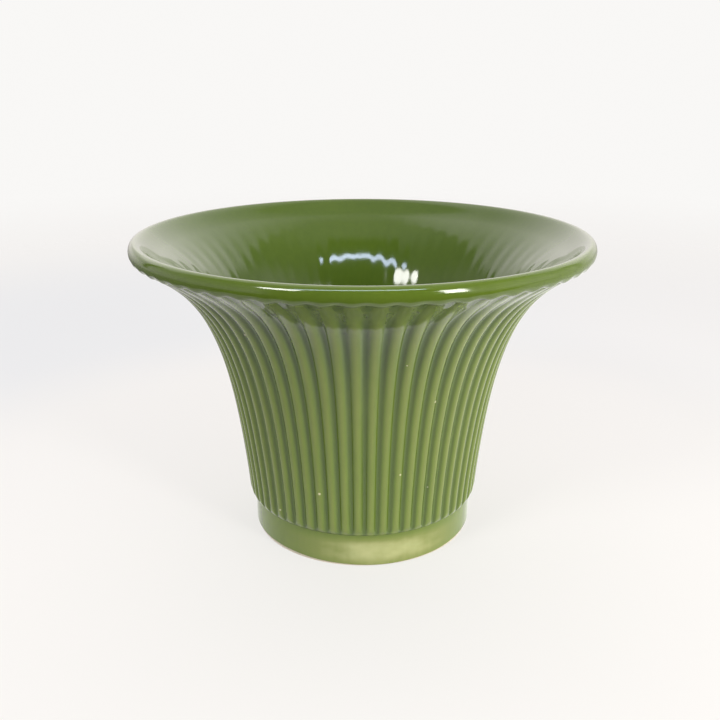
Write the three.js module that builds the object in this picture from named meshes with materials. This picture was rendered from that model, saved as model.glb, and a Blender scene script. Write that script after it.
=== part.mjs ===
// Fluted cachepot: a flared ceramic cover pot with ribs all round, on a plain foot band.
// Millimetres, +Z up. The origin is on the axis, on the plane that the pot stands on.
import * as THREE from "three";

// Overall sizes
const HEIGHT = 150;
const RIM_DIAMETER = 219.6;
const FOOT_DIAMETER = 110;
const FOOT_HEIGHT = 16.5;

// Rim roll: an upright oval section, open to the inside
const ROLL_HEIGHT = 8.4;
const ROLL_WIDTH = 6.2;
const LIP_HOLLOW = 7;
const LIP_CROWN = 2.6;

// Wall, measured over the rib crests. They start a step outside the foot band and nearly upright,
// and end in a wide flare.
const WALL_THICKNESS = 6;
const CREST_STEP = 3.2;
const TAPER_DEG = 4.4;
const TAPER_REACH = 93;
const FLARE_DEG = 31.5;
const FLARE_REACH = 31;

// Ribs, with a groove between each two
const RIB_COUNT = 62;
const GROOVE_DEPTH = 1.4;
const GROOVE_SHARPNESS = 1.5;
const FRONT_GROOVE_DEG = 1;
const RIB_END_HEIGHT = 6;
const RIB_OVERHANG = 0.4;

// Foot ring, floor and bare standing edge
const FOOT_WALL = 7.5;
const FLOOR_LEVEL = 11.5;
const FLOOR_THICKNESS = 6.5;
const FLOOR_CLEARANCE = 0.3;
const STANDING_HEIGHT = 1.2;
const STANDING_INSET = 0.8;
const EDGE_ROUND = 0.9;

// Fineness of the faceted solids
const STEPS_PER_RIB = 4;
const RING_STEPS = 96;
const FLOOR_STEPS = 48;
const CREST_ROWS = 9;
const INSIDE_ROWS = 6;
const RIB_END_ROWS = 3;
const ROLL_ROWS = 8;
const LIP_ROWS = 4;
const EDGE_ROWS = 2;
const OFFSET_SAMPLES = 80;

// Sizes that follow from the ones above
const footRadius = FOOT_DIAMETER / 2;
const footInside = footRadius - FOOT_WALL;
const crestFoot = footRadius + CREST_STEP;
const rollRadius = (RIM_DIAMETER - ROLL_WIDTH) / 2;
const rimSeat = HEIGHT - ROLL_HEIGHT;
const floorSeat = FLOOR_LEVEL - FLOOR_THICKNESS;
const ribEndRadius = footRadius + RIB_OVERHANG;
const frontGroove = THREE.MathUtils.degToRad(FRONT_GROOVE_DEG);
const taper = THREE.MathUtils.degToRad(TAPER_DEG);
const flare = THREE.MathUtils.degToRad(FLARE_DEG);

// Profiles are lists of (radius, height) points
const point = (radius, height) => new THREE.Vector2(radius, height);

// The line over the rib crests, from the top of the foot to the underside of the rim
const crest = new THREE.CubicBezierCurve(
  point(crestFoot, FOOT_HEIGHT),
  point(crestFoot + TAPER_REACH * Math.sin(taper), FOOT_HEIGHT + TAPER_REACH * Math.cos(taper)),
  point(rollRadius - FLARE_REACH * Math.cos(flare), rimSeat - FLARE_REACH * Math.sin(flare)),
  point(rollRadius, rimSeat),
);

// The inside face lies one wall thickness from the crests, measured square to the wall
function insidePoint(t) {
  const along = crest.getTangent(t);
  return crest.getPoint(t).add(point(-along.y, along.x).multiplyScalar(WALL_THICKNESS));
}
const insideLine = Array.from({ length: OFFSET_SAMPLES + 1 }, (_, i) => insidePoint(i / OFFSET_SAMPLES));

// Radius of a rising line of points at one height. The end stretches are carried on straight.
function radiusAt(line, height) {
  const above = line.findIndex((p) => p.y > height);
  const upper = above < 0 ? line.length - 1 : Math.max(above, 1);
  const [a, b] = [line[upper - 1], line[upper]];
  return a.x + ((height - a.y) / (b.y - a.y)) * (b.x - a.x);
}

const insideFoot = radiusAt(insideLine, FOOT_HEIGHT);
const insideSeat = radiusAt(insideLine, rimSeat);

// A closed ring or disc of revolution about +Z, whose first step lies at an angle from the front
function turned(profile, steps, start = 0) {
  return new THREE.LatheGeometry(profile, steps, start).rotateX(Math.PI / 2);
}

// A quarter round between two faces of a profile, from one angle to the next
function edgeRound(radius, height, startDeg) {
  const start = THREE.MathUtils.degToRad(startDeg);
  const arc = new THREE.EllipseCurve(radius, height, EDGE_ROUND, EDGE_ROUND, start, start + Math.PI / 2);
  return arc.getPoints(EDGE_ROWS);
}

// Ring of bare clay under the foot, a little inside the glazed band on both sides
function standingEdge() {
  const outer = footRadius - STANDING_INSET;
  const inner = footInside + STANDING_INSET;
  const half = STANDING_HEIGHT / 2;
  return turned(
    [
      point(inner, half),
      point(inner + half, 0),
      point(outer - half, 0),
      point(outer, half),
      point(outer, STANDING_HEIGHT),
      point(inner, STANDING_HEIGHT),
      point(inner, half),
    ],
    RING_STEPS,
  );
}

// Plain band with a ledge inside for the floor and a flat top for the wall
function footRing() {
  const rounded = STANDING_HEIGHT + EDGE_ROUND;
  const start = point(footInside, floorSeat);
  return turned(
    [
      start,
      ...edgeRound(footInside + EDGE_ROUND, rounded, 180),
      ...edgeRound(footRadius - EDGE_ROUND, rounded, 270),
      point(footRadius, FOOT_HEIGHT),
      point(insideFoot, FOOT_HEIGHT),
      point(insideFoot, floorSeat),
      start,
    ],
    RING_STEPS,
  );
}

// Round bottom, dropped into the foot ring and carried by its ledge
function floorDisc() {
  const radius = insideFoot - FLOOR_CLEARANCE;
  return turned(
    [point(0, floorSeat), point(radius, floorSeat), point(radius, FLOOR_LEVEL), point(0, FLOOR_LEVEL)],
    FLOOR_STEPS,
  );
}

// Depth of the groove pattern at an angle: 0 on a rib's crest, 1 at the bottom of a groove
function grooveAt(angle) {
  const wave = (1 + Math.cos(RIB_COUNT * (angle + Math.PI / 2 - frontGroove))) / 2;
  return wave ** GROOVE_SHARPNESS;
}

// Rows up the outside of the wall. Each has its crest radius, the groove's depth measured level,
// and the radius that the rounded lower rib ends leave standing.
function wallRows() {
  const line = crest.getPoints(OFFSET_SAMPLES);
  const endTop = FOOT_HEIGHT + RIB_END_HEIGHT;
  const ends = Array.from({ length: RIB_END_ROWS }, (_, i) => (i / RIB_END_ROWS) * (Math.PI / 2));
  const rounded = ends.map((turn) => {
    const height = endTop - RIB_END_HEIGHT * Math.cos(turn);
    const radius = radiusAt(line, height);
    const limit = ribEndRadius + (radius - ribEndRadius) * Math.sin(turn);
    return { height, radius, depth: GROOVE_DEPTH, limit };
  });
  const first = line.findIndex((p) => p.y >= endTop) / OFFSET_SAMPLES;
  const upright = Array.from({ length: CREST_ROWS }, (_, i) => {
    const t = first + (1 - first) * (i / (CREST_ROWS - 1));
    const { x: radius, y: height } = crest.getPoint(t);
    return { height, radius, depth: GROOVE_DEPTH / crest.getTangent(t).y, limit: radius };
  });
  return [...rounded, ...upright];
}

// Flared wall: a turned shell whose outside is then cut back between the ribs
function flutedWall() {
  const rows = wallRows();
  const outside = rows.map((row) => point(row.limit, row.height));
  const inside = Array.from({ length: INSIDE_ROWS + 1 }, (_, i) => {
    const height = THREE.MathUtils.lerp(rimSeat, FOOT_HEIGHT, i / INSIDE_ROWS);
    return point(radiusAt(insideLine, height), height);
  });
  const profile = [inside.at(-1), ...outside, ...inside];
  const wall = turned(profile, RIB_COUNT * STEPS_PER_RIB, frontGroove);
  const position = wall.getAttribute("position");
  for (let i = 0; i < position.count; i += 1) {
    const row = rows[(i % profile.length) - 1];
    if (row) {
      const angle = Math.atan2(position.getY(i), position.getX(i));
      const radius = Math.min(row.limit, row.radius - row.depth * grooveAt(angle));
      position.setXY(i, radius * Math.cos(angle), radius * Math.sin(angle));
    }
  }
  wall.computeVertexNormals();
  return wall;
}

// Rounded lip on a flat seat: an oval outside, and a hollowed slope down to the inside face
function rimRoll() {
  const oval = new THREE.EllipseCurve(
    rollRadius,
    HEIGHT - ROLL_HEIGHT / 2,
    ROLL_WIDTH / 2,
    ROLL_HEIGHT / 2,
    -Math.PI / 2,
    Math.PI / 2,
  );
  const slope = new THREE.CubicBezierCurve(
    point(rollRadius, HEIGHT),
    point(rollRadius - LIP_CROWN, HEIGHT),
    point(insideSeat + LIP_HOLLOW * Math.cos(flare), rimSeat + LIP_HOLLOW * Math.sin(flare)),
    point(insideSeat, rimSeat),
  );
  const profile = [...oval.getPoints(ROLL_ROWS), ...slope.getPoints(LIP_ROWS).slice(1)];
  return turned([...profile, profile[0]], RING_STEPS);
}

const GLAZE = { color: 0x5c7a2a, roughness: 0.12, metalness: 0 };
const BARE_CLAY = { color: 0xd9c8a8, roughness: 0.85, metalness: 0 };

const pieces = [
  ["standing_edge", standingEdge, BARE_CLAY],
  ["foot_ring", footRing, GLAZE],
  ["floor", floorDisc, GLAZE],
  ["fluted_wall", flutedWall, GLAZE],
  ["rim_roll", rimRoll, GLAZE],
];

const cachepot = new THREE.Group();
for (const [name, shape, finish] of pieces) {
  const mesh = new THREE.Mesh(shape(), new THREE.MeshStandardMaterial(finish));
  mesh.name = name;
  cachepot.add(mesh);
}

export default cachepot;
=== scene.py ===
"""Looks of a fluted, green-glazed cachepot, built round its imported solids. Metres, +Z up."""
import math

import bpy
import numpy as np
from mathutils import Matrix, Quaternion, Vector


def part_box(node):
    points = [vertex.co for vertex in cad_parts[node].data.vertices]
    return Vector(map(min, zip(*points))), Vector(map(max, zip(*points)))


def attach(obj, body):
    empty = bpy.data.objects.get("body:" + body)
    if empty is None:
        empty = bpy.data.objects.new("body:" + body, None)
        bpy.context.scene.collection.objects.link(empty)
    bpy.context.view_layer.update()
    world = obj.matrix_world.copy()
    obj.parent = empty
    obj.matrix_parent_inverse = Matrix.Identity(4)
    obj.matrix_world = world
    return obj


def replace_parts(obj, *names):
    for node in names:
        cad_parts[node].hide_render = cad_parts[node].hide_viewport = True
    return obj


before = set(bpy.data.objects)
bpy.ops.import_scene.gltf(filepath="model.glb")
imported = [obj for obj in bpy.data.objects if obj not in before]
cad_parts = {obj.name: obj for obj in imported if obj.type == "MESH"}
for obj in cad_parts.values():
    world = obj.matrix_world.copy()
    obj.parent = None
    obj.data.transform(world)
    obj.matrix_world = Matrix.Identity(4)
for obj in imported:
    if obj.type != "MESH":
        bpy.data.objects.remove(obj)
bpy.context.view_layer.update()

MM = 0.001

# Sizes taken from the solids
RIM_LOW, RIM_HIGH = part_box("rim_roll")
FOOT_LOW, FOOT_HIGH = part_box("foot_ring")
FLOOR_LOW, FLOOR_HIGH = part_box("floor")
EDGE_LOW, EDGE_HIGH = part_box("standing_edge")
HEIGHT = RIM_HIGH[2]
RIM_SEAT = RIM_LOW[2]
RIM_RADIUS = (RIM_HIGH[0] - RIM_LOW[0]) / 2
FOOT_RADIUS = (FOOT_HIGH[0] - FOOT_LOW[0]) / 2
FOOT_TOP = FOOT_HIGH[2]
FOOT_BOTTOM = FOOT_LOW[2]
FLOOR_TOP = FLOOR_HIGH[2]
FLOOR_UNDER = FLOOR_LOW[2]
EDGE_RADIUS = (EDGE_HIGH[0] - EDGE_LOW[0]) / 2

# Rim roll
ROLL_WIDTH = 6.2 * MM
ROLL_RADIUS = RIM_RADIUS - ROLL_WIDTH / 2
ROLL_SCALLOP = 0.85 * MM
SCALLOP_TURN = 0.8
SCALLOP_REACH = 7 * MM
ROLL_WAVE = 0.03 * MM
ROLL_WAVE_TURNS = (-0.3, 0.9)
LIP_HOLLOW = 7 * MM
LIP_CROWN = 2.6 * MM
SEAT_INSET = 0.3 * MM

# Wall over the rib crests: nearly upright at the foot, a wide flare at the rim
WALL_THICKNESS = 6 * MM
CREST_STEP = 3.6 * MM
TAPER = math.radians(4.4)
TAPER_REACH = 93 * MM
FLARE = math.radians(31.5)
FLARE_REACH = 31 * MM
LEAST_RISE = 0.2

# The wall's top, hidden inside the roll: how far in and up it is tucked, and how far its middle drops
TUCK_IN = 0.1 * MM
TUCK_UP = 0.3 * MM
SEAT_DROP = 3 * MM

# Ribs and the grooves between them
RIB_COUNT = 62
GROOVE_DEPTH = 1.4 * MM
GROOVE_SHARE = 0.365
FLANK_STEEPNESS = 1.8
CREST_ROUND = 0.55
GROOVE_END = (26 * MM, 6 * MM)
GROOVE_END_RISE = 0.65
FRONT_GROOVE = math.radians(0.78)
RIB_END_HEIGHT = 6 * MM
RIB_TOE_RISE = 0.6 * MM
RIB_TOE_DIP = 0.3 * MM
RIB_TOE_PROUD = 0.05 * MM
RIB_END_BLEND = 0.5 * MM
BLEND_FADE_ROWS = 2
INNER_WAVE = 0.032 * MM
INNER_WAVE_GROWTH = 4
INNER_WAVE_LIMIT = 1.68
INNER_WAVE_WAY = math.radians(70)
INNER_WAVE_FADE = 12 * MM

# Foot, floor and bare clay
FOOT_WALL = 7.5 * MM
FOOT_GLAZE = 0.9 * MM
FOOT_ROUND = 0.6 * MM
GLAZE_EDGE = (1.0 * MM, 0.55 * MM)
GLAZE_EDGE_WAY = math.radians(12)
GLAZE_EDGE_WAVES = 3
GLAZE_EDGE_REACH = (1 * MM, 7 * MM)
GLAZE_RIPPLE = 0.12
GLAZE_RIPPLE_WAVES = 11
FLOOR_FILLET = 5 * MM
FLOOR_GAP = 0.02 * MM
CLAY_RADIUS = EDGE_RADIUS + 1.0 * MM
CLAY_ROUND = 0.3 * MM
CLAY_GAP = 0.05 * MM

# Glaze thickness, from 0 where it is thin and pale to 1 where it has pooled. It also carries painted light on
# the foot and painted shade under the rim.
CREST_COAT = 0.457
GROOVE_COAT = 0.877
GROOVE_POOL = 0.3
GROOVE_POOL_HEIGHTS = (85 * MM, 115 * MM)
# Painted shade under the rim roll: how much deeper the glaze is painted where the grooves fade out
RIM_SHADE_COAT = 0.22
ROLL_COAT = 0.76
INSIDE_COAT = 0.88
# Foot: the coat of its glaze, then that of a pale patch at the front right, which is a painted pool of light.
# The patch fades in below the top, which paints the shade under the rib toes, and it weakens near the bottom.
FOOT_COAT = (0.57, 0.06)
FOOT_LIGHT_POOL_WAY = math.radians(-78.5)
FOOT_LIGHT_POOL_POWER = 21
FOOT_TOE_SHADE_DEPTH = 6 * MM
FOOT_LIGHT_POOL_LOW = (5.5 * MM, 1 * MM)
FOOT_LIGHT_POOL_LOSS = 0.5
PLAIN_COAT = 0.55

# Pinholes in the glaze: degrees to the right of the front, height and radius in mm
PINHOLES = (
    (-19.1, 39.2, 0.85),
    (-42.1, 23.6, 0.7),
    (30.6, 39.7, 0.4),
    (16.2, 50.0, 0.65),
    (14.4, 107.2, 0.45),
)

# Fineness of the meshes. The first are shares of a pitch, from a groove's middle towards a crest's.
RIB_HALF = (0, 0.06, 0.105, 0.14, 0.17, 0.197, 0.225, 0.265, 0.325, 0.405)
RING_STEPS = 496
ROLL_STEPS = RIB_COUNT * 12
CURVE_SAMPLES = 400
TOE_ROWS = 12
CREST_ROWS = 39
CREST_CROWDING = 1.25
INSIDE_ROWS = 25
INSIDE_CROWDING = 1.4
ROLL_ROWS = 41
SLOPE_ROWS = 33
FOOT_ROWS = 17
FOOT_ROUND_ROWS = 9
CLAY_ROUND_ROWS = 7
FILLET_ROWS = 13
FLOOR_TOP_ROWS = 12
FLOOR_UNDER_ROWS = 8
SHARP_ANGLE = math.radians(40)


def bezier(points, t):
    """Cubic Bezier curve through its two end points: positions and directions at t from 0 to 1."""
    a, b, c, d = (np.asarray(p, float) for p in points)
    t = np.asarray(t, float)[:, None]
    s = 1 - t
    place = s**3 * a + 3 * s**2 * t * b + 3 * s * t**2 * c + t**3 * d
    along = s**2 * (b - a) + 2 * s * t * (c - b) + t**2 * (d - c)
    return place, along / np.linalg.norm(along, axis=1)[:, None]


CREST_POINTS = (
    (FOOT_RADIUS + CREST_STEP, FOOT_TOP),
    (FOOT_RADIUS + CREST_STEP + TAPER_REACH * math.sin(TAPER), FOOT_TOP + TAPER_REACH * math.cos(TAPER)),
    (ROLL_RADIUS - FLARE_REACH * math.cos(FLARE), RIM_SEAT - FLARE_REACH * math.sin(FLARE)),
    (ROLL_RADIUS, RIM_SEAT),
)
CREST, CREST_ALONG = bezier(CREST_POINTS, np.linspace(0, 1, CURVE_SAMPLES))
INSIDE = CREST + WALL_THICKNESS * np.stack([-CREST_ALONG[:, 1], CREST_ALONG[:, 0]], axis=1)


def inside_radius(height):
    """Radius of the inside face at a height, carried on straight below its first point."""
    lean = (INSIDE[1, 0] - INSIDE[0, 0]) / (INSIDE[1, 1] - INSIDE[0, 1])
    below = np.minimum(height - INSIDE[0, 1], 0) * lean
    return np.interp(height, INSIDE[:, 1], INSIDE[:, 0]) + below


SEAT_LEAN = float(np.interp(RIM_SEAT, INSIDE[:, 1], np.arctan2(CREST_ALONG[:, 1], CREST_ALONG[:, 0])))
FOOT_INSIDE = float(inside_radius(FOOT_TOP))
SEAT_INSIDE = float(inside_radius(RIM_SEAT))


def angles(steps):
    """Angles of the columns round the axis, from the front groove."""
    return -math.pi / 2 + FRONT_GROOVE + 2 * math.pi * np.arange(steps) / steps


def rib_angles():
    """Angles of columns that crowd on the flanks, at the same shares of a pitch for every rib."""
    half = np.array(RIB_HALF)
    shares = np.concatenate([half, [0.5], 1 - half[:0:-1]])
    turns = (np.arange(RIB_COUNT)[:, None] + shares).ravel() / RIB_COUNT
    return -math.pi / 2 + FRONT_GROOVE + 2 * math.pi * turns


def rib_wave(angle, lag=0):
    """Cosine wave over the ribs: 0 in the middle of a crest, 1 in the middle of a groove."""
    return (1 + np.cos(RIB_COUNT * (angle + math.pi / 2 - FRONT_GROOVE) + lag)) / 2


def groove(angle):
    """Groove pattern: 0 on a rib's crest, 1 along a groove's bottom, with steep flanks between.

    With c for the cosine wave, the steep part is c^p / (c^p + (k (1 - c))^p), where k sets the groove's
    share of the pitch at half depth and p the steepness of the flanks. A share of c itself rounds the crest
    and the bottom.
    """
    c = rib_wave(angle)
    half = (1 + math.cos(math.pi * GROOVE_SHARE)) / 2
    k = half / (1 - half)
    steep = c**FLANK_STEEPNESS / (c**FLANK_STEEPNESS + (k * (1 - c)) ** FLANK_STEEPNESS)
    return (1 - CREST_ROUND) * steep + CREST_ROUND * c


def outside_point(angle, height):
    """A point of the ribbed outside at an angle and a height."""
    along = np.interp(height, CREST[:, 1], CREST_ALONG[:, 1])
    radius = np.interp(height, CREST[:, 1], CREST[:, 0]) - GROOVE_DEPTH / along * groove(angle)
    return (float(radius * math.cos(angle)), float(radius * math.sin(angle)), float(height))


def toward(a, b, share):
    """Value a where the share is 0, value b where it is 1, for numbers, arrays and sockets."""
    return a + (b - a) * share


def smooth_min(a, b, width):
    """The smaller of two arrays, rounded over a width where they cross."""
    h = np.clip(0.5 + 0.5 * (b - a) / width, 0, 1)
    return b + (a - b) * h - width * h * (1 - h)


def smooth_step(x, low, high):
    """0 below low, 1 above high, and a smooth rise between."""
    t = np.clip((x - low) / (high - low), 0, 1)
    return t * t * (3 - 2 * t)


def turned(name, radius, height, angle, material, poles=False, coat=PLAIN_COAT):
    """A solid of revolution: row j and column i lie at radius[j, i], height[j, i] and angle[i].

    The rows go once round the section, so the grid closes on itself both ways. With poles, the first and
    last rows are single points on the axis instead. The coat is the glaze's thickness at each point, with
    painted light on the foot and painted shade under the rim mixed in.
    """
    rows, steps = radius.shape
    place = np.stack([radius * np.cos(angle), radius * np.sin(angle), height], axis=-1)
    i = np.arange(steps)
    following = (i + 1) % steps
    if poles:
        body = place[1:-1].reshape(-1, 3)
        points = np.concatenate([body, place[0, :1], place[-1, :1]])
        j = np.arange(rows - 3)[:, None] * steps
        last = (rows - 3) * steps
        top = np.stack([np.full(steps, len(body)), i, following], axis=-1)
        bottom = np.stack([np.full(steps, len(body) + 1), last + following, last + i], axis=-1)
        fans = np.concatenate([top, bottom])
        quads = np.stack([j + i, j + steps + i, j + steps + following, j + following], axis=-1)
    else:
        points = place.reshape(-1, 3)
        j = np.arange(rows)[:, None] * steps
        above = (j + steps) % (rows * steps)
        fans = np.empty((0, 3), int)
        quads = np.stack([j + i, j + following, above + following, above + i], axis=-1)
    mesh = bpy.data.meshes.new(name)
    mesh.from_pydata(points.tolist(), [], quads.reshape(-1, 4).tolist() + fans.tolist())
    mesh.shade_smooth()
    mesh.set_sharp_from_angle(angle=SHARP_ANGLE)
    coats = np.broadcast_to(coat, radius.shape)
    if poles:
        coats = np.append(coats[1:-1], [coats[0, 0], coats[-1, 0]])
    thickness = mesh.attributes.new("glaze_coat", "FLOAT", "POINT")
    thickness.data.foreach_set("value", np.ascontiguousarray(coats, np.float32).ravel())
    mesh.materials.append(material)
    piece = bpy.data.objects.new(name, mesh)
    bpy.context.scene.collection.objects.link(piece)
    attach(piece, "root")
    return piece


def revolve(profile, steps):
    """Radius and height grids of a plain section, the same at every angle."""
    section = np.asarray(profile, float)
    flat = np.ones(steps)
    return section[:, :1] * flat, section[:, 1:] * flat


def arc(radius, height, size, start, end, count):
    """Points of a circular arc in a section, angles in degrees."""
    turn = np.radians(np.linspace(start, end, count))
    return np.stack([radius + size * np.cos(turn), height + size * np.sin(turn)], axis=1)


def line(start, end, count):
    """Evenly spaced points of a straight stretch of a section, both ends included."""
    return np.linspace(start, end, count)


def fluted_wall(glaze):
    """Flared wall. Outside: the crest curve less the groove pattern, its depth measured square to the wall,
    cut off below by each rib's rounded toe. Inside: the parallel curve with a faint wave behind the ribs.
    The glaze is thin on the crests and pools in the grooves, more so higher up. Close under the rim, where
    the grooves fade out, the glaze is painted deeper all round: painted shade under the roll.
    """
    angle = rib_angles()
    pattern = groove(angle)[None, :]
    end_top = FOOT_TOP + RIB_END_HEIGHT
    turn = np.radians(np.linspace(0, 90, TOE_ROWS))[:, None]
    toe = FOOT_TOP + RIB_TOE_RISE - RIB_TOE_DIP * (1 - pattern)
    toe_height = toward(toe, end_top, 1 - np.cos(turn))
    toe_limit = FOOT_RADIUS + FOOT_GLAZE + RIB_TOE_PROUD
    crest = np.interp(toe_height, CREST[:, 1], CREST[:, 0])
    limit = toward(toe_limit, crest, np.sin(turn))
    toe_radius = smooth_min(limit, crest - GROOVE_DEPTH * pattern, RIB_END_BLEND)
    first = np.interp(end_top, CREST[:, 1], np.linspace(0, 1, len(CREST)))
    left_over = np.linspace(1, 0, CREST_ROWS)[1:] ** CREST_CROWDING
    path, along = bezier(CREST_POINTS, 1 - (1 - first) * left_over)
    rise = np.maximum(along[:, 1:], LEAST_RISE)
    left = np.linalg.norm(path - path[-1], axis=1)[:, None]
    ending = GROOVE_END_RISE * smooth_step(-left, -GROOVE_END[0], -GROOVE_END[1])
    depth = GROOVE_DEPTH * (1 - ending)
    # The rounded minimum takes a quarter of its width off the crests at the toe's top. This lets it fade out.
    blend = RIB_END_BLEND / 4 * np.exp(-np.arange(len(path)) / BLEND_FADE_ROWS)[:, None]
    outer_radius = path[:, :1] - depth / rise * pattern - blend
    scallop = ROLL_SCALLOP * rib_wave(angle)[None, :]
    outer_height = path[:, 1:] + scallop * smooth_step(-left, -SCALLOP_REACH, 0)
    down = np.linspace(0, 1, INSIDE_ROWS)[:, None] ** INSIDE_CROWDING
    inner_height = toward(RIM_SEAT, FOOT_TOP, down) + 0 * pattern
    plain = inside_radius(inner_height)
    growth = np.minimum(plain / FOOT_INSIDE, INNER_WAVE_LIMIT) ** INNER_WAVE_GROWTH
    wave = INNER_WAVE * growth * smooth_step(RIM_SEAT - inner_height, 0, INNER_WAVE_FADE)
    inner_radius = plain + wave * (0.5 - rib_wave(angle, INNER_WAVE_WAY))
    foot_cap = np.full((1, len(angle)), FOOT_RADIUS + FOOT_GLAZE)
    tuck_radius = np.full((1, len(angle)), ROLL_RADIUS - TUCK_IN)
    tuck_height = RIM_SEAT + TUCK_UP + scallop
    seat_cap = np.full((1, len(angle)), (SEAT_INSIDE + ROLL_RADIUS) / 2)
    radius = np.concatenate([foot_cap, toe_radius, outer_radius, tuck_radius, seat_cap, inner_radius])
    height = np.concatenate([
        0 * foot_cap + FOOT_TOP,
        toe_height,
        outer_height,
        tuck_height,
        0 * seat_cap + RIM_SEAT - SEAT_DROP,
        inner_height,
    ])
    outside = np.arange(len(radius))[:, None] <= len(toe_radius) + len(outer_radius) + 1
    fading = np.zeros((len(radius), 1))
    fading[1 + len(toe_radius):1 + len(toe_radius) + len(depth)] = ending
    pooled = (1 - fading) * (1 + GROOVE_POOL * smooth_step(height, *GROOVE_POOL_HEIGHTS))
    # Where the grooves fade out under the rim, the glaze is painted deeper: painted shade under the roll.
    ribbed = CREST_COAT + (GROOVE_COAT - CREST_COAT) * pattern * pooled + RIM_SHADE_COAT * fading
    coat = np.where(outside, ribbed, INSIDE_COAT)
    return turned("fluted_wall_glazed", radius, height, angle, glaze, coat=coat)


def rim_roll(glaze):
    """Rounded lip: half an oval outside, whose lower edge rises in a scallop over each groove, and a
    hollowed slope that runs down into the inside face.
    """
    angle = angles(ROLL_STEPS)
    pattern = rib_wave(angle)[None, :]
    half_height = (HEIGHT - RIM_SEAT) / 2
    turn = np.radians(np.linspace(-90, 90, ROLL_ROWS))[:, None]
    scallop = ROLL_SCALLOP * pattern * smooth_step(-turn, 0, SCALLOP_TURN)
    lower = np.where(turn < 0, half_height - scallop, half_height)
    swell = ROLL_WAVE * smooth_step(-turn, *ROLL_WAVE_TURNS) * pattern
    oval_radius = ROLL_RADIUS + (ROLL_WIDTH / 2 - swell) * np.cos(turn)
    oval_height = HEIGHT - half_height + lower * np.sin(turn)
    slope_points = (
        (ROLL_RADIUS, HEIGHT),
        (ROLL_RADIUS - LIP_CROWN, HEIGHT),
        (SEAT_INSIDE + LIP_HOLLOW * math.cos(SEAT_LEAN), RIM_SEAT + LIP_HOLLOW * math.sin(SEAT_LEAN)),
        (SEAT_INSIDE, RIM_SEAT),
    )
    slope, _ = bezier(slope_points, np.linspace(0, 1, SLOPE_ROWS)[1:])
    groove_end = ROLL_RADIUS - GROOVE_DEPTH / math.sin(FLARE) - SEAT_INSET
    seat = np.array([[groove_end, RIM_SEAT]])
    plain_radius, plain_height = revolve(np.concatenate([slope, seat]), len(angle))
    radius = np.concatenate([oval_radius, plain_radius])
    height = np.concatenate([oval_height, plain_height])
    coat = np.where(np.arange(len(radius))[:, None] < len(turn), ROLL_COAT, INSIDE_COAT)
    return turned("rim_roll_glazed", radius, height, angle, glaze, coat=coat)


def foot_ring(glaze):
    """Plain band with a flat top under the wall and a ledge for the floor. Its glaze hangs down outside the
    clay to an uneven lower edge: a mean height less a swing of three waves round the pot, and a small ripple.
    A pale patch at the front, a little to the right, is a painted pool of light: a high power of the cosine
    of half the angle to it. It fades in below the top, which paints the shade under the rib toes, and it
    weakens near the bottom.
    """
    outer = FOOT_RADIUS + FOOT_GLAZE
    inner = FOOT_RADIUS - FOOT_WALL
    skirt = np.concatenate([
        [(CLAY_RADIUS + CLAY_GAP, 0)],
        arc(outer - FOOT_ROUND, FOOT_ROUND, FOOT_ROUND, -90, 0, FOOT_ROUND_ROWS),
        line((outer, FOOT_ROUND), (outer, FOOT_TOP), FOOT_ROWS)[1:],
    ])
    back = np.concatenate([
        [(FOOT_INSIDE, FOOT_TOP), (FOOT_INSIDE, FLOOR_UNDER), (inner, FLOOR_UNDER)],
        arc(inner + FOOT_ROUND, FOOT_BOTTOM + FOOT_ROUND, FOOT_ROUND, 180, 270, FOOT_ROUND_ROWS),
        [(CLAY_RADIUS + CLAY_GAP, FOOT_BOTTOM)],
    ])
    angle = angles(RING_STEPS)
    mean, swing = GLAZE_EDGE
    waves = np.cos(GLAZE_EDGE_WAVES * (angle + math.pi / 2 - GLAZE_EDGE_WAY))
    edge = mean - swing * waves + GLAZE_RIPPLE * swing * np.cos(GLAZE_RIPPLE_WAVES * angle)
    skirt_radius, skirt_height = revolve(skirt, RING_STEPS)
    skirt_height = skirt_height + edge * (1 - smooth_step(skirt_height, *GLAZE_EDGE_REACH))
    back_radius, back_height = revolve(back, RING_STEPS)
    radius = np.concatenate([skirt_radius, back_radius])
    height = np.concatenate([skirt_height, back_height])
    # The pale patch is painted light: a pool of light at the front right, faded in below the top as painted
    # shade under the rib toes.
    beside = np.mod(angle - FOOT_LIGHT_POOL_WAY + math.pi, 2 * math.pi) - math.pi
    low = smooth_step(-height, -FOOT_LIGHT_POOL_LOW[0], -FOOT_LIGHT_POOL_LOW[1])
    bare = np.cos(beside / 2) ** FOOT_LIGHT_POOL_POWER
    bare = bare * smooth_step(FOOT_TOP - height, 0, FOOT_TOE_SHADE_DEPTH) * (1 - FOOT_LIGHT_POOL_LOSS * low)
    coat = toward(*FOOT_COAT, bare)
    return turned("foot_ring_glazed", radius, height, angle, glaze, coat=coat)


def floor_disc(glaze):
    """Round bottom whose glazed corner curves up to meet the wall."""
    edge = FOOT_INSIDE - FLOOR_GAP
    fillet = arc(edge - FLOOR_FILLET, FLOOR_TOP + FLOOR_FILLET, FLOOR_FILLET, 0, -90, FILLET_ROWS)
    fillet[:, 1] = np.minimum(fillet[:, 1], FOOT_TOP)
    top = line((edge - FLOOR_FILLET, FLOOR_TOP), (0, FLOOR_TOP), FLOOR_TOP_ROWS)[1:]
    under = line((0, FLOOR_UNDER), (edge, FLOOR_UNDER), FLOOR_UNDER_ROWS)
    profile = np.concatenate([under, fillet, top])[::-1]
    radius, height = revolve(profile, RING_STEPS)
    return turned("floor_glazed", radius, height, angles(RING_STEPS), glaze, True, INSIDE_COAT)


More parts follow.
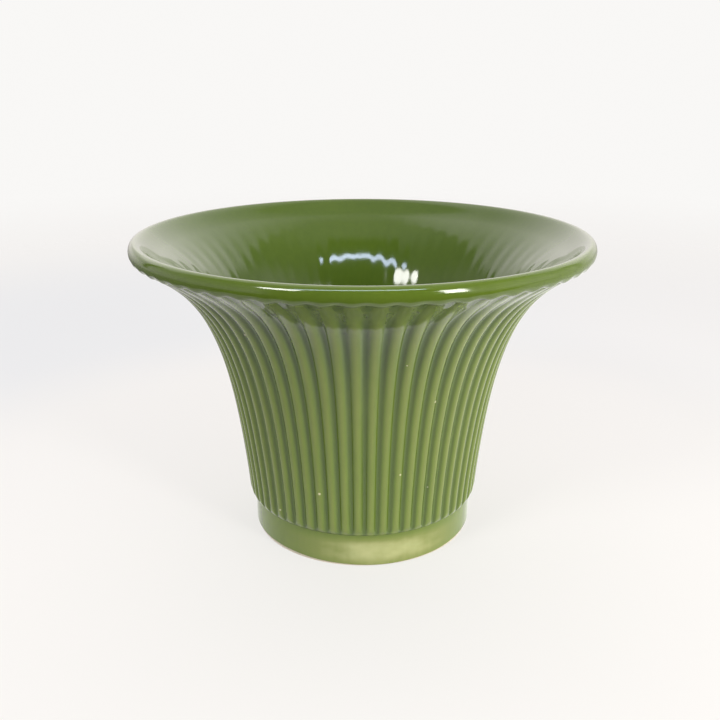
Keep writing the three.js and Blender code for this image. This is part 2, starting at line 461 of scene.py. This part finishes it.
def standing_edge(clay):
    """Ring of bare clay that the glaze stops short of, with worn edges."""
    inner = FOOT_RADIUS - FOOT_WALL + (FOOT_RADIUS - EDGE_RADIUS)
    profile = np.concatenate([
        arc(CLAY_RADIUS - CLAY_ROUND, CLAY_ROUND, CLAY_ROUND, -90, 0, CLAY_ROUND_ROWS),
        [(CLAY_RADIUS, FOOT_BOTTOM), (inner, FOOT_BOTTOM)],
        arc(inner + CLAY_ROUND, CLAY_ROUND, CLAY_ROUND, 180, 270, CLAY_ROUND_ROWS),
    ])
    radius, height = revolve(profile, RING_STEPS)
    return turned("standing_edge_clay", radius, height, angles(RING_STEPS), clay)


class Socket:
    """A shader socket that takes part in Python expressions: each operator adds one Math node."""

    def __init__(self, tree, socket):
        self.tree = tree
        self.socket = socket

    def _math(self, operation, a, b):
        return self.tree.node("ShaderNodeMath", {"operation": operation}, {0: a, 1: b})

    def __add__(self, other):
        return self._math("ADD", self, other)

    def __sub__(self, other):
        return self._math("SUBTRACT", self, other)

    def __rsub__(self, other):
        return self._math("SUBTRACT", other, self)

    def __mul__(self, other):
        return self._math("MULTIPLY", self, other)

    def __truediv__(self, other):
        return self._math("DIVIDE", self, other)

    __radd__ = __add__
    __rmul__ = __mul__


class Tree:
    """A node tree under construction."""

    def __init__(self, node_tree):
        self.nodes = node_tree.nodes
        self.links = node_tree.links
        self.nodes.clear()

    def node(self, kind, settings=None, inputs=None, output=0):
        """Adds a node, sets its settings, then its sockets' values or links, and gives one output."""
        made = self.nodes.new(kind)
        for name, value in (settings or {}).items():
            if name == "stops":
                self._stops(made.color_ramp, value)
            else:
                setattr(made, name, value)
        for name, value in (inputs or {}).items():
            if isinstance(value, Socket):
                self.links.new(value.socket, made.inputs[name])
            else:
                made.inputs[name].default_value = value
        return Socket(self, made.outputs[output]) if made.outputs else made

    @staticmethod
    def _stops(ramp, stops):
        while len(ramp.elements) < len(stops):
            ramp.elements.new(1)
        for element, (place, colour) in zip(ramp.elements, stops):
            element.position = place
            element.color = colour

    def mix(self, factor, a, b):
        """Colour a where the factor is 0, colour b where it is 1."""
        return self.node("ShaderNodeMix", {"data_type": "RGBA"}, {0: factor, 6: a, 7: b}, output=2)

    def noise(self, place, scale, detail):
        """Fractal noise from about 0 to 1, with its scale in waves per metre."""
        return self.node("ShaderNodeTexNoise", {}, {"Vector": place, "Scale": scale, "Detail": detail})

    def stretch(self, place, scale):
        """Coordinates scaled by axis, so that a pattern runs longer along one of them."""
        return self.node("ShaderNodeMapping", {}, {"Vector": place, "Scale": scale})

    def ramp(self, value, low, high):
        """0 below low, 1 above high, and a smooth rise between. With low above high, a smooth fall."""
        settings = {"interpolation_type": "SMOOTHSTEP"}
        return self.node("ShaderNodeMapRange", settings, {"Value": value, 1: low, 2: high})


# Colours, linear
# GLAZE_PALE, for the thinnest coat, mostly colours the painted pool of light on the foot.
GLAZE_PALE = (0.430, 0.450, 0.200, 1)
GLAZE_THIN = (0.210, 0.250, 0.058, 1)
GLAZE_BODY = (0.135, 0.200, 0.022, 1)
GLAZE_DEEP = (0.058, 0.105, 0.012, 1)
PINHOLE_PALE = (0.62, 0.60, 0.36, 1)
CLAY_BUFF = (0.70, 0.64, 0.52, 1)
CLAY_DARK = (0.50, 0.42, 0.31, 1)
GLAZE_STOPS = ((0.0, GLAZE_PALE), (0.34, GLAZE_THIN), (0.56, GLAZE_BODY), (1.0, GLAZE_DEEP))

# Patterns in the glaze: waves per metre, how much they change its thickness, and their stretch by axis
CLOUD_WAVES = 28
CLOUD = 0.12
RUN_WAVES = 420
RUNS = 0.08
RUN_STRETCH = (1, 1, 0.12)
MOTTLE_WAVES = 95
MOTTLE = 0.4
MOTTLE_STRETCH = (1, 1, 1.6)
MOTTLE_THIN = (0.5, 0.2)

# Pits scattered over the glaze: cells per metre, the share of cells that have one, and its size in a cell
PIT_CELLS = 62.0
PIT_SHARE = (0.80, 0.82)
PIT_SIZE = (0.028, 0.05)
PINHOLE_CORE = 0.4
PINHOLE_TINT = 0.85
PINHOLE_ROUGHNESS = 0.3

# The glaze's gloss and the slight waves of its skin, coarse and fine
GLOSS = 0.065
GLOSS_VARIES = 0.06
GLOSS_WAVES = 160
SKIN_WAVES = (75, 420)
SKIN_SHARES = (0.85, 0.15)

# Patterns in the clay
CLAY_CLOUD_WAVES = 60
CLAY_GRAIN_WAVES = 1800
CLAY_SPECK_WAVES = 900
CLAY_SPECK = (0.64, 0.72)
CLAY_DARKENS = 0.35
CLAY_ROUGHNESS = (0.85, 0.1)


def new_material(name):
    """An empty node material and the tree to fill."""
    material = bpy.data.materials.new(name)
    material.use_nodes = True
    return material, Tree(material.node_tree)


def green_glaze():
    """Glossy grass-green glaze over pale clay: deeper where it pools in the grooves, thinner over the crests,
    with faint runs, a mottle where it is thin, a few pale pinholes and the slight waviness of fired glass.
    """
    material, tree = new_material("green_glaze")
    place = tree.node("ShaderNodeTexCoord", output="Object")
    coat = tree.node("ShaderNodeAttribute", {"attribute_name": "glaze_coat"}, output="Fac")
    cloud = tree.noise(place, CLOUD_WAVES, 3)
    runs = tree.noise(tree.stretch(place, RUN_STRETCH), RUN_WAVES, 2)
    blotch = tree.noise(tree.stretch(place, MOTTLE_STRETCH), MOTTLE_WAVES, 2)
    mottle = tree.ramp(coat, *MOTTLE_THIN) * (blotch - 0.5)
    coat = coat + CLOUD * (cloud - 0.5) + RUNS * (runs - 0.5) + MOTTLE * mottle
    colour = tree.node("ShaderNodeValToRGB", {"stops": GLAZE_STOPS}, {0: coat})
    cells = tree.node("ShaderNodeTexVoronoi", {}, {"Vector": place, "Scale": PIT_CELLS})
    chosen = tree.node("ShaderNodeTexVoronoi", {}, {"Vector": place, "Scale": PIT_CELLS}, output="Color")
    rare = tree.ramp(tree.node("ShaderNodeSeparateColor", {}, {"Color": chosen}), *PIT_SHARE)
    spot = (1 - tree.ramp(cells, *PIT_SIZE)) * rare
    for degrees, height, size in PINHOLES:
        centre = outside_point(math.radians(degrees - 90), height * MM)
        ends = {0: place, 1: centre}
        away = tree.node("ShaderNodeVectorMath", {"operation": "DISTANCE"}, ends, output="Value")
        spot = spot + tree.ramp(away, size * MM, PINHOLE_CORE * size * MM)
    colour = tree.mix(spot * PINHOLE_TINT, colour, PINHOLE_PALE)
    gloss = GLOSS + GLOSS_VARIES * tree.noise(place, GLOSS_WAVES, 2) + PINHOLE_ROUGHNESS * spot
    coarse = tree.noise(place, SKIN_WAVES[0], 1)
    fine = tree.noise(place, SKIN_WAVES[1], 2)
    skin = SKIN_SHARES[0] * coarse + SKIN_SHARES[1] * fine
    bump = tree.node("ShaderNodeBump", {}, {"Strength": 0.05, "Distance": 0.0012, "Height": skin - spot})
    surface = tree.node("ShaderNodeBsdfPrincipled", {}, {
        "Base Color": colour, "Roughness": gloss, "Normal": bump, "IOR": 1.52,
    })
    tree.node("ShaderNodeOutputMaterial", {}, {"Surface": surface})
    return material


def bare_clay():
    """Matt buff clay, with fine dark grog specks and a sandy grain."""
    material, tree = new_material("bare_clay")
    place = tree.node("ShaderNodeTexCoord", output="Object")
    cloud = tree.noise(place, CLAY_CLOUD_WAVES, 3)
    grain = tree.noise(place, CLAY_GRAIN_WAVES, 3)
    speck = tree.ramp(tree.noise(place, CLAY_SPECK_WAVES, 1), *CLAY_SPECK)
    colour = tree.mix(CLAY_DARKENS * cloud + CLAY_DARKENS * speck, CLAY_BUFF, CLAY_DARK)
    matt = CLAY_ROUGHNESS[0] + CLAY_ROUGHNESS[1] * grain
    bump = tree.node("ShaderNodeBump", {}, {"Strength": 0.35, "Distance": 0.0003, "Height": grain})
    surface = tree.node("ShaderNodeBsdfPrincipled", {}, {
        "Base Color": colour, "Roughness": matt, "Normal": bump, "IOR": 1.45,
    })
    tree.node("ShaderNodeOutputMaterial", {}, {"Surface": surface})
    return material


# The stage: a pale table that fades into the background. Below, a pair of numbers that isn't explained is
# the two ends of a smooth ramp.
TABLE_RADIUS = 1.4
TABLE_RINGS = (0.05, 0.3, 0.7, TABLE_RADIUS)
TABLE_STEPS = 96
TABLE_FADE = (0.45, 1.3)
TABLE_WHITE = (0.80, 0.775, 0.735, 1)
TABLE_EVEN = 0.7
BACKGROUND = (0.945, 0.935, 0.92, 1)

# Painted shade: a cooler, darker ring on the table round the pot as the eye sees it, weaker to the right
TABLE_SHADE = (0.775, 0.825, 0.89, 1)
SHADE_AMOUNT = 0.5
SHADE_INNER = (0.22, 0.36)
SHADE_OUTER = (0.85, 0.5)
SHADE_LOSS = 0.6
SHADE_RIGHT = (0, 0.3)

# The table as the pot mirrors it glows with painted light: how bright to the left and to the right. Past its
# edges it is painted dark, which stands in for the unlit room.
TABLE_MIRRORED_GLOW = (0.75, 1.4)
MIRRORED_RISE = (-0.18, 0.06)
MIRRORED_DROP = 0.6
MIRRORED_END = (0.28, 0.36)
TABLE_FRONT = (-0.19, -0.21)
TABLE_LEFT = (-0.26, -0.29)
TABLE_LEFT_AMOUNT = 0.75
TABLE_PAINTED_DARK = (0.02, 0.02, 0.02, 1)

# The backdrop behind the pot: its brightness by height, its sides low down and higher up, and its dimmer
# ends, which are an amount and a ramp to the left and to the right
ROOM_TINT = (1.05, 0.975, 1.0)
BACKDROP_BRIGHT = (
    (0.0, 1.15),
    (0.12, 1.4),
    (0.3, 2.0),
    (0.5, 2.05),
    (0.67, 1.72),
    (0.82, 1.45),
    (0.93, 1.1),
    (1.0, 0.6),
)
BRIGHTEST = 2.5
BACKDROP_EDGE = (0.54, 0.60)
BACKDROP_WAYS = (0.28, 0.48)
BACKDROP_WIDENS = (0.42, 0.55)
LEFT_END = (0.35, -0.36, -0.46)
RIGHT_END = (0.2, 0.4, 0.52)
ENDS_TOP = (0.38, 0.28)
ENDS_BOTTOM = (0.08, 0.2)
BACKDROP_FALL = (0.3, 0.85, 0.5)

# A glow high on the left, and the dark gap beside the backdrop's lower sides, deeper to the left
GLOW = 0.5
GLOW_LEFT = (-0.05, -0.4)
GLOW_BOTTOM = (0.78, 0.9)
GLOW_TOP = (0.99, 0.95)
GAP_DARK = 0.4
GAP_DARKER = 0.45
GAP_LEFT = (0, -0.3)
GAP_WAYS = (0.46, 0.5)
GAP_TOP = (0.55, 0.42)

# The rest of the room: how bright its left and right sides are, and its other parts
SIDE_BRIGHT = (0.53, 0.57)
SIDE_WAYS = (-0.3, 0.3)
HORIZON_BRIGHT = 0.25
HORIZON_TOP = (0.35, 0.15)
WINDOW_WAY = math.radians(97)
WINDOW_BRIGHT = 0.35
WINDOW_EDGE = (0.93, 0.99)
WINDOW_TOP = (0.72, 0.6)
UPPER_BRIGHT = 0.25
UPPER_BOTTOM = (0.45, 0.7)
CEILING_BRIGHT = 0.55
CEILING_BOTTOM = (0.8, 0.97)
BELOW_BRIGHT = 0.7
BELOW_TOP = (0.0, -0.1)
FRONT_BRIGHT = 0.03
FRONT_WAYS = (-0.62, -0.8)
FRONT_TOP = (0.985, 0.93)

# The lamps face this point. The camera is fitted to the photograph's outlines.
LAMP_TARGET = (0, 0, 0.1)
CAMERA_PLACE = (0, -0.412, 0.2266)
CAMERA_TILT = math.radians(71.0)
LENS = 43.09
SENSOR = 36
LENS_SHIFT = -2.5 / 720


def table():
    """Round table top whose material fades to clear with its distance from the pot. The eye sees it nearly
    as white as the background, with a ring of painted shade. In the pot's reflections it glows with painted
    light, brighter to the right, and past its edges it is painted dark.
    """
    steps = TABLE_STEPS
    turn = 2 * math.pi * np.arange(steps) / steps
    rings = np.array(TABLE_RINGS)[:, None]
    grid = np.stack([rings * np.cos(turn), rings * np.sin(turn), 0 * rings * turn], axis=-1)
    i = np.arange(steps)
    j = np.arange(len(rings) - 1)[:, None] * steps
    following = (i + 1) % steps
    quads = np.stack([j + i, j + steps + i, j + steps + following, j + following], axis=-1)
    mesh = bpy.data.meshes.new("table_top")
    mesh.from_pydata(grid.reshape(-1, 3).tolist(), [], quads.reshape(-1, 4).tolist() + [i.tolist()])
    material, tree = new_material("table_white_and_painted_light")
    place = tree.node("ShaderNodeTexCoord", output="Object")
    away = tree.node("ShaderNodeVectorMath", {"operation": "LENGTH"}, {0: place}, output="Value")
    fade = tree.ramp(away, *TABLE_FADE)
    eye = tree.node("ShaderNodeLightPath", output="Is Camera Ray")
    mirror = tree.node("ShaderNodeLightPath", output="Is Glossy Ray")
    right = tree.node("ShaderNodeSeparateXYZ", {}, {0: place}, output="X")
    back = tree.node("ShaderNodeSeparateXYZ", {}, {0: place}, output="Y")
    # Past the front and left edges the table's colour and glow are painted dark, for the unlit room beyond.
    past_left = TABLE_LEFT_AMOUNT * tree.ramp(right, *TABLE_LEFT)
    over = 1 - (1 - tree.ramp(back, *TABLE_FRONT)) * (1 - past_left)
    over = over * (1 - eye)
    matt = tree.node("ShaderNodeBsdfDiffuse", {}, {"Color": tree.mix(over, TABLE_WHITE, TABLE_PAINTED_DARK)})
    # In reflections the table glows with painted light, brighter to the right.
    bright = toward(*TABLE_MIRRORED_GLOW, tree.ramp(right, *MIRRORED_RISE))
    bright = bright - MIRRORED_DROP * tree.ramp(right, *MIRRORED_END)
    # To the eye, a cooler ring of painted shade on the table round the pot.
    sweep = SHADE_AMOUNT * tree.ramp(away, *SHADE_INNER) * tree.ramp(away, *SHADE_OUTER)
    sweep = sweep * (1 - SHADE_LOSS * tree.ramp(right, *SHADE_RIGHT))
    bright = tree.mix(eye, bright, tree.mix(sweep, BACKGROUND, TABLE_SHADE))
    glow = tree.mix(over, bright, TABLE_PAINTED_DARK)
    white = tree.node("ShaderNodeEmission", {}, {"Color": glow, "Strength": 1.0})
    seen = tree.node("ShaderNodeMixShader", {}, {0: (eye + mirror) * TABLE_EVEN, 1: matt, 2: white})
    clear = tree.node("ShaderNodeBsdfTransparent")
    surface = tree.node("ShaderNodeMixShader", {}, {0: fade, 1: seen, 2: clear})
    tree.node("ShaderNodeOutputMaterial", {}, {"Surface": surface})
    mesh.materials.append(material)
    top = bpy.data.objects.new("table_top", mesh)
    bpy.context.scene.collection.objects.link(top)


def studio_world():
    """White to the eye all round. As light and in reflections, a bright backdrop behind the pot with a dark
    gap beside its lower sides, a dimmer room with one pale panel to the right, and the dark in front.

    Left, right and back are measured on the level direction, so they don't depend on the height.
    """
    world = bpy.data.worlds.new("studio")
    bpy.context.scene.world = world
    world.use_nodes = True
    tree = Tree(world.node_tree)
    way = tree.node("ShaderNodeTexCoord", output="Generated")
    right = tree.node("ShaderNodeSeparateXYZ", {}, {0: way}, output="X")
    back = tree.node("ShaderNodeSeparateXYZ", {}, {0: way}, output="Y")
    up = tree.node("ShaderNodeSeparateXYZ", {}, {0: way}, output="Z")
    level = tree.node("ShaderNodeMath", {"operation": "SQRT"}, {0: 1.0001 - up * up})
    back = back / level
    right = right / level
    shares = [(place, bright / BRIGHTEST) for place, bright in BACKDROP_BRIGHT]
    stops = [(place, (share, share, share, 1)) for place, share in shares]
    rising = BRIGHTEST * tree.node("ShaderNodeValToRGB", {"stops": stops}, {0: up})
    ends = LEFT_END[0] * tree.ramp(right, *LEFT_END[1:]) + RIGHT_END[0] * tree.ramp(right, *RIGHT_END[1:])
    ends = ends * tree.ramp(up, *ENDS_TOP) * tree.ramp(up, *ENDS_BOTTOM)
    rising = rising * (1 - BACKDROP_FALL[0] * tree.ramp(back, *BACKDROP_FALL[1:])) * (1 - ends)
    glow = GLOW * tree.ramp(right, *GLOW_LEFT) * tree.ramp(up, *GLOW_BOTTOM) * tree.ramp(up, *GLOW_TOP)
    rising = rising + glow
    room = toward(*SIDE_BRIGHT, tree.ramp(right, *SIDE_WAYS))
    room = room + HORIZON_BRIGHT * tree.ramp(up, *HORIZON_TOP)
    aside = math.sin(WINDOW_WAY) * right + math.cos(WINDOW_WAY) * back
    room = room + WINDOW_BRIGHT * tree.ramp(aside, *WINDOW_EDGE) * tree.ramp(up, *WINDOW_TOP)
    room = toward(room, UPPER_BRIGHT, tree.ramp(up, *UPPER_BOTTOM))
    room = toward(room, CEILING_BRIGHT, tree.ramp(up, *CEILING_BOTTOM))
    edge = tree.ramp(back, *BACKDROP_EDGE)
    gap = GAP_DARK + GAP_DARKER * tree.ramp(right, *GAP_LEFT)
    gap = gap * tree.ramp(back, *GAP_WAYS) * (1 - edge)
    room = room * (1 - gap * tree.ramp(up, *GAP_TOP))
    edge = toward(edge, tree.ramp(back, *BACKDROP_WAYS), tree.ramp(up, *BACKDROP_WIDENS))
    around = toward(room, rising, edge)
    around = toward(around, BELOW_BRIGHT, tree.ramp(up, *BELOW_TOP))
    around = toward(around, FRONT_BRIGHT, tree.ramp(back, *FRONT_WAYS) * tree.ramp(up, *FRONT_TOP))
    eye = tree.node("ShaderNodeLightPath", output="Is Camera Ray")
    tinted = tree.node("ShaderNodeVectorMath", {"operation": "SCALE"}, {0: ROOM_TINT, "Scale": around})
    light = tree.node("ShaderNodeBackground", {}, {"Color": tinted, "Strength": 1.0})
    seen = tree.node("ShaderNodeBackground", {}, {"Color": BACKGROUND, "Strength": 1.0})
    both = tree.node("ShaderNodeMixShader", {}, {0: eye, 1: light, 2: seen})
    tree.node("ShaderNodeOutputWorld", {}, {"Surface": both})


def softbox(name, place, size, watts, colour=(1, 1, 1), oval=False, roll=0, lights=True, mirrored=True):
    """A flat lamp at a place, turned to face the middle of the pot and rolled about its own axis. It can be
    kept out of reflections, or shown in them only.
    """
    lamp = bpy.data.lights.new(name, "AREA")
    lamp.shape = "ELLIPSE" if oval else "RECTANGLE"
    lamp.size, lamp.size_y = size
    lamp.energy = watts
    lamp.color = colour
    holder = bpy.data.objects.new(name, lamp)
    holder.location = place
    facing = (Vector(LAMP_TARGET) - Vector(place)).to_track_quat("-Z", "Y")
    holder.rotation_euler = (facing @ Quaternion((0, 0, 1), math.radians(roll))).to_euler()
    holder.visible_diffuse = lights
    holder.visible_glossy = mirrored
    bpy.context.scene.collection.objects.link(holder)


def camera():
    """Camera at the photograph's place: square in front, looking down on the rim from close by."""
    lens = bpy.data.cameras.new("camera")
    lens.sensor_width = SENSOR
    lens.lens = LENS
    lens.shift_x = LENS_SHIFT
    holder = bpy.data.objects.new("camera", lens)
    holder.location = CAMERA_PLACE
    holder.rotation_euler = (CAMERA_TILT, 0, 0)
    bpy.context.scene.collection.objects.link(holder)
    bpy.context.scene.camera = holder


glaze = green_glaze()
clay = bare_clay()
for make, finish, node in (
    (fluted_wall, glaze, "fluted_wall"),
    (rim_roll, glaze, "rim_roll"),
    (foot_ring, glaze, "foot_ring"),
    (floor_disc, glaze, "floor"),
    (standing_edge, clay, "standing_edge"),
):
    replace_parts(make(finish), node)

table()
studio_world()
softbox("left_softbox", (-0.61, -0.70, 0.80), (0.36, 0.25), 4.8, (1.0, 0.985, 0.96), oval=True)
softbox("right_softbox", (0.64, -0.749, 0.43), (0.19, 0.42), 6.0, (1.0, 0.98, 0.95))
softbox("front_fill", (0, -0.8, 1.29), (1.25, 0.13), 3.4, (0.76, 0.89, 1.0), mirrored=False)
softbox("window_fill", (0.8, -0.4, 0.2), (0.5, 0.3), 2.9, (1.0, 0.90, 0.72), mirrored=False)
softbox("right_strip", (0.24, -0.8, 1.34), (0.68, 0.13), 5.5, (0.64, 0.73, 1.0), roll=-15, lights=False)
softbox("left_strip", (-0.36, -0.8, 1.215), (0.58, 0.13), 4.0, (0.64, 0.73, 1.0), roll=33, lights=False)
camera()
bpy.context.scene.view_settings.view_transform = "Standard"
